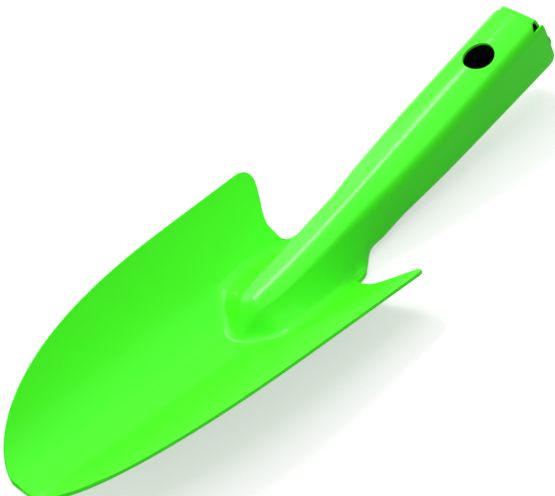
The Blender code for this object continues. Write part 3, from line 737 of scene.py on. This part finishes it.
def paint_group():
    """Sprayed paint: tone, run-together places, thin places with painted shade on raised edges, roughness
    and the height of its fine waves.
    """
    group = bpy.data.node_groups.new("Sprayed paint", "ShaderNodeTree")
    for name in ("Paint", "Thick paint", "Thin paint"):
        socket(group, name, "INPUT", "NodeSocketColor")
    for name, default in (("Peel size", 0.0016), ("Roughness", 0.45)):
        socket(group, name, "INPUT", "NodeSocketFloat", default)
    socket(group, "Colour", "OUTPUT", "NodeSocketColor")
    socket(group, "Roughness", "OUTPUT", "NodeSocketFloat")
    socket(group, "Height", "OUTPUT", "NodeSocketFloat")
    n = Nodes(group)
    given = n.add("NodeGroupInput").outputs
    place = n.add("ShaderNodeTexCoord").outputs["Object"]
    tone = n.mix(n.spread_noise(place, *PAINT_DRIFT), given["Paint"], given["Thick paint"])
    point = n.add("ShaderNodeNewGeometry").outputs["Pointiness"]
    tone = n.mix(n.spread(point, *HOLLOW_EDGE), tone, given["Thick paint"])
    # Painted shade: raised edges turn darker green, partly as thin paint
    tone = n.mix(n.spread(point, *RAISED_EDGE_THIN_PAINT_AND_SHADE), tone, given["Thin paint"])
    marks = n.math("ADD", n.spread_noise(place, *HANDLING_MARKS), n.spread_noise(place, *SPRAY_GRAIN))
    rough = n.math("ADD", given["Roughness"], marks)
    peel = n.add("ShaderNodeTexNoise", Vector=place, Scale=n.math("DIVIDE", 1.0, given["Peel size"]),
                 Detail=1.0, Roughness=0.4).outputs[0]
    specks = n.add("ShaderNodeTexVoronoi", Vector=place, Scale=SPECKS_TO_A_METRE, Randomness=1.0)
    grit = n.spread(specks.outputs["Distance"], *SPECK_HEIGHT)
    out = n.add("NodeGroupOutput")
    n.give(out.inputs["Colour"], tone)
    n.give(out.inputs["Roughness"], rough)
    n.give(out.inputs["Height"], n.math("ADD", peel, grit))
    return group


def painted(name, finish, group, peel_scale=1.0, inside=False):
    """Paint over steel; with inside set, the colour fades to near black away from the open neck, partly as
    unpainted steel where the spray thins and partly as painted shade inside the closed handle.
    """
    material = bpy.data.materials.new(name)
    material.use_nodes = True
    n = Nodes(material.node_tree)
    shader = material.node_tree.nodes["Principled BSDF"]
    skin = n.add("ShaderNodeGroup", {"node_tree": group}, Paint=finish.paint, Thick_paint=finish.thick_paint,
                 Thin_paint=finish.thin_paint, Peel_size=finish.peel_size * peel_scale,
                 Roughness=finish.paint_roughness)
    tone = skin.outputs["Colour"]
    # Painted shade: the handle's inside darkens to near black away from the open neck, partly as unpainted
    # steel
    if inside:
        place = n.add("ShaderNodeTexCoord").outputs["Object"]
        along = n.add("ShaderNodeSeparateXYZ", Vector=place).outputs["Y"]
        cloud = n.math("MULTIPLY", n.noise(place, CLOUD_SIZE, CLOUD_DETAIL), CLOUD_DEPTH)
        unpainted_and_shaded = n.spread(n.math("ADD", along, cloud), *INSIDE_DARKENING_REACH)
        tone = n.mix(unpainted_and_shaded, tone, finish.steel)
    bump = n.add("ShaderNodeBump", Height=skin.outputs["Height"], Distance=finish.peel_depth,
                 Strength=PAINT_BUMP)
    n.give(shader.inputs["Base Color"], tone)
    n.give(shader.inputs["Roughness"], skin.outputs["Roughness"])
    n.give(shader.inputs["Normal"], bump.outputs[0])
    shader.inputs["Specular IOR Level"].default_value = finish.gloss
    shader.inputs["Coat Weight"].default_value = finish.coat
    shader.inputs["Coat Roughness"].default_value = finish.coat_roughness
    return material


def paint_materials():
    """The three finishes of the sheet and its welds, made once."""
    if "sheet_paint" not in bpy.data.materials:
        finish = bpy.context.scene.trowel_finish
        group = paint_group()
        painted("sheet_paint", finish, group)
        painted("inner_paint", finish, group, inside=True)
        painted("weld_paint", finish, group, peel_scale=0.5)
    return [bpy.data.materials[name] for name in ("sheet_paint", "inner_paint", "weld_paint")]


# Pieces

class TROWEL_OT_sheet(bpy.types.Operator):
    """Build the blade, rib, neck, handle and end tab as one thin sheet"""
    bl_idname = "trowel.sheet"
    bl_label = "Blade and Handle"

    def execute(self, context):
        form = SheetForm(context.scene.trowel_sheet)
        bm = bmesh.new()
        bmesh.ops.create_grid(bm, x_segments=2 * LAST_COLUMN, y_segments=LAST_ROW, size=1.0)
        row_layer = bm.verts.layers.int.new("row")
        column_layer = bm.verts.layers.int.new("column")
        for vertex in bm.verts:
            vertex[row_layer] = round((vertex.co.y + 1.0) / 2.0 * LAST_ROW)
            vertex[column_layer] = round(vertex.co.x * LAST_COLUMN)
        block = hole_block(form)
        unused = []
        for face in bm.faces:
            row = sum(v[row_layer] for v in face.verts) / 4.0
            column = abs(sum(v[column_layer] for v in face.verts)) / 4.0
            in_block = block[0] < row < block[1] and column < CROWN_COLUMNS
            if outside_sheet(row, column) or in_block:
                unused.append(face)
        bmesh.ops.delete(bm, geom=unused, context="FACES")
        for vertex in bm.verts:
            vertex.co = form.point(vertex[row_layer], vertex[column_layer])
        open_hole(bm, form, block)
        bmesh.ops.remove_doubles(bm, verts=bm.verts, dist=MERGE_GAP)
        for face in bm.faces:
            face.material_index = int(any(v[row_layer] > NECK_ROW for v in face.verts))
        bm.transform(form.rest())
        sheet_paint, inner_paint, _ = paint_materials()
        sheet = new_object("trowel_sheet", bm, [sheet_paint, sheet_paint, inner_paint])
        wall = sheet.modifiers.new("thickness", "SOLIDIFY")
        wall.thickness = form.thickness
        wall.offset = -1.0
        wall.use_even_offset = True
        # The handle's inner side takes the material with painted shade inside the tube
        wall.material_offset = 1
        wall.material_offset_rim = 0
        edges = sheet.modifiers.new("edges", "BEVEL")
        edges.width = form.edge_radius
        edges.segments = EDGE_SEGMENTS
        edges.profile = 0.5
        edges.limit_method = "ANGLE"
        edges.angle_limit = LEAST_EDGE_ANGLE
        edges.use_clamp_overlap = False
        edges.harden_normals = True
        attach(sheet, "root")
        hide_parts("blade_and_handle")
        return {"FINISHED"}


def weld_bead(name, bead_length, width, height, place, welds):
    """Half an ellipsoid with shallow ripples across it, flat towards the sheet."""
    bm = bmesh.new()
    bmesh.ops.create_uvsphere(bm, u_segments=BEAD_SEGMENTS, v_segments=BEAD_RINGS, radius=1.0)
    bmesh.ops.bisect_plane(bm, geom=bm.verts[:] + bm.edges[:] + bm.faces[:], dist=SMALLEST,
                           plane_co=(0.0, 0.0, 0.0), plane_no=(0.0, 0.0, 1.0), clear_inner=True)
    for vertex in bm.verts:
        curved = vertex.co.y + RIPPLE_BOW * vertex.co.x ** 2
        wave = 0.5 + 0.5 * math.cos(HALF_TURN * welds.ripples * curved)
        vertex.co.z *= 1.0 - welds.ripple / height * wave
    rim = [edge for edge in bm.edges if edge.is_boundary]
    bmesh.ops.edgeloop_fill(bm, edges=rim)
    bmesh.ops.recalc_face_normals(bm, faces=bm.faces)
    bm.transform(place @ Matrix.Diagonal((width / 2.0, bead_length / 2.0, height, 1.0)))
    bead = new_object(name + "_bead", bm, [paint_materials()[2]])
    bead.data.set_sharp_from_angle(angle=BEAD_SHARP_ANGLE)
    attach(bead, "root")
    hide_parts(name)


class TROWEL_OT_welds(bpy.types.Operator):
    """Build the painted tack welds at the seam's two ends and beside the end tab"""
    bl_idname = "trowel.welds"
    bl_label = "Tack Welds"

    def execute(self, context):
        form = SheetForm(context.scene.trowel_sheet)
        welds = context.scene.trowel_welds
        rest = form.rest()
        below = -form.depth(welds.seam_place) - welds.clearance
        place = rest @ form.handle_axes(welds.seam_place, 0.0, below) @ Matrix.Rotation(HALF_TURN, 4, "Y")
        weld_bead("seam_weld_front", welds.seam_length, welds.seam_width, welds.seam_height, place, welds)
        past_end = Matrix.Translation((0.0, welds.clearance, 0.0)) @ Matrix.Rotation(-SQUARE, 4, "X")
        seam_end = form.handle_length - form.end_corner_radius
        seam_middle = welds.end_width / 2.0 - form.depth(seam_end)
        place = rest @ form.handle_axes(seam_end, 0.0, seam_middle) @ past_end
        weld_bead("seam_weld_end", welds.end_length, welds.end_width, welds.end_height,
                  place @ Matrix.Rotation(SQUARE, 4, "Z"), welds)
        depth = form.handle_depth_end / 2.0
        for name, side in (("tab_weld_left", -1.0), ("tab_weld_right", 1.0)):
            x = side * (form.inner_half_width(depth) - form.tab_side_gap / 2.0)
            place = rest @ form.handle_axes(form.handle_length, x, -depth) @ past_end
            weld_bead(name, welds.tab_length, welds.tab_width, welds.end_height, place, welds)
        return {"FINISHED"}


# Stage

FLOOR_HALF_WIDTH = 3.0

# The camera's image width in millimetres, and the nearest and farthest that it sees in metres
IMAGE_WIDTH = 36.0
NEAREST_SEEN = 0.01
FARTHEST_SEEN = 20.0

# Soft lights: name, place, the place that it points at, size, and the setting that holds its power
LIGHTS = (
    ("key_light", (-0.92, -0.03, 0.71), (0.0, 0.0, 0.0), (0.75, 0.5), "key_power"),
    ("top_light", (-0.30, 0.10, 1.30), (0.0, 0.0, 0.0), (1.6, 1.2), "top_power"),
    ("side_light", (-1.15, 0.48, 0.15), (0.0, 0.0, 0.0), (0.9, 0.28), "side_power"),
    ("strip_light", (-0.648, 0.237, 0.865), (0.0, 0.06, 0.03), (0.26, 0.12), "strip_power"),
)


def seen_directly(n):
    """1 for camera rays and mirror-like reflections, 0 for the light that objects give each other."""
    shown = n.add("ShaderNodeLightPath")
    seen = n.math("MAXIMUM", shown.outputs["Is Camera Ray"], shown.outputs["Is Glossy Ray"])
    return n.math("MAXIMUM", seen, shown.outputs["Is Transmission Ray"])


def floor_material(stage):
    """Pale paper that keeps its shadows; the camera sees it as white."""
    material = bpy.data.materials.new("floor_paper")
    material.use_nodes = True
    shader = material.node_tree.nodes["Principled BSDF"]
    n = Nodes(material.node_tree)
    place = n.add("ShaderNodeTexCoord").outputs["Object"]
    grain = n.spread_noise(place, *PAPER_GRAIN)
    n.give(shader.inputs["Base Color"], n.mix(grain, stage.floor_colour, stage.floor_shade))
    shader.inputs["Emission Color"].default_value = WHITE
    n.give(shader.inputs["Emission Strength"], n.math("MULTIPLY", seen_directly(n), stage.floor_white))
    shader.inputs["Roughness"].default_value = FLOOR_ROUGHNESS
    shader.inputs["Specular IOR Level"].default_value = FLOOR_GLOSS
    return material


def soft_light(name, place, target, size, watts):
    light = bpy.data.lights.new(name, "AREA")
    light.shape = "RECTANGLE"
    light.size, light.size_y = size
    light.energy = watts
    obj = bpy.data.objects.new(name, light)
    obj.location = place
    obj.rotation_euler = (Vector(target) - Vector(place)).to_track_quat("-Z", "Y").to_euler()
    bpy.context.scene.collection.objects.link(obj)
    return obj


def white_world(stage):
    """Plain light from all round; the camera and mirror-like reflections see white."""
    world = bpy.data.worlds.new("studio")
    bpy.context.scene.world = world
    world.use_nodes = True
    n = Nodes(world.node_tree)
    strength = n.spread(seen_directly(n), 0.0, 1.0, stage.sky_strength, 1.0)
    n.give(world.node_tree.nodes["Background"].inputs["Strength"], strength)
    world.node_tree.nodes["Background"].inputs["Color"].default_value = WHITE


def photo_camera(stage):
    camera = bpy.data.cameras.new("camera")
    camera.sensor_width = IMAGE_WIDTH
    camera.lens = stage.lens
    camera.clip_start = NEAREST_SEEN
    camera.clip_end = FARTHEST_SEEN
    obj = bpy.data.objects.new("camera", camera)
    obj.location = stage.camera_place
    obj.rotation_euler = stage.camera_turn
    bpy.context.scene.collection.objects.link(obj)
    return obj


class TROWEL_OT_stage(bpy.types.Operator):
    """Build the pale floor, the soft lights and the camera"""
    bl_idname = "trowel.stage"
    bl_label = "Stage"

    def execute(self, context):
        stage = context.scene.trowel_stage
        bm = bmesh.new()
        bmesh.ops.create_grid(bm, x_segments=1, y_segments=1, size=FLOOR_HALF_WIDTH)
        floor = new_object("floor", bm, [floor_material(stage)])
        white_world(stage)
        lights = {}
        for name, place, target, size, setting in LIGHTS:
            lights[name] = soft_light(name, place, target, size, getattr(stage, setting))
        lights["strip_light"].rotation_euler.rotate_axis("Z", stage.strip_lean)
        context.scene.camera = photo_camera(stage)
        context.scene.view_settings.view_transform = "Standard"
        return {"FINISHED"}


class TROWEL_PT_panel(bpy.types.Panel):
    """Lists the trowel's sizes, finishes and pieces"""
    bl_idname = "TROWEL_PT_panel"
    bl_label = "Trowel"
    bl_space_type = "VIEW_3D"
    bl_region_type = "UI"
    bl_category = "Trowel"

    def draw(self, context):
        layout = self.layout
        for operator in OPERATORS:
            layout.operator(operator.bl_idname)
        for name, group in GROUPS.items():
            box = layout.box()
            for prop in group.__annotations__:
                box.prop(getattr(context.scene, name), prop)


GROUPS = {
    "trowel_sheet": SheetSizes,
    "trowel_welds": WeldSizes,
    "trowel_finish": Finish,
    "trowel_stage": Stage,
}
OPERATORS = (TROWEL_OT_sheet, TROWEL_OT_welds, TROWEL_OT_stage)


def register():
    for name, group in GROUPS.items():
        bpy.utils.register_class(group)
        setattr(bpy.types.Scene, name, PointerProperty(type=group))
    for operator in OPERATORS:
        bpy.utils.register_class(operator)
    bpy.utils.register_class(TROWEL_PT_panel)


def unregister():
    bpy.utils.unregister_class(TROWEL_PT_panel)
    for operator in reversed(OPERATORS):
        bpy.utils.unregister_class(operator)
    for name, group in reversed(GROUPS.items()):
        delattr(bpy.types.Scene, name)
        bpy.utils.unregister_class(group)


def main():
    register()
    bpy.ops.trowel.sheet()
    bpy.ops.trowel.welds()
    bpy.ops.trowel.stage()


if __name__ == "__main__":
    main()
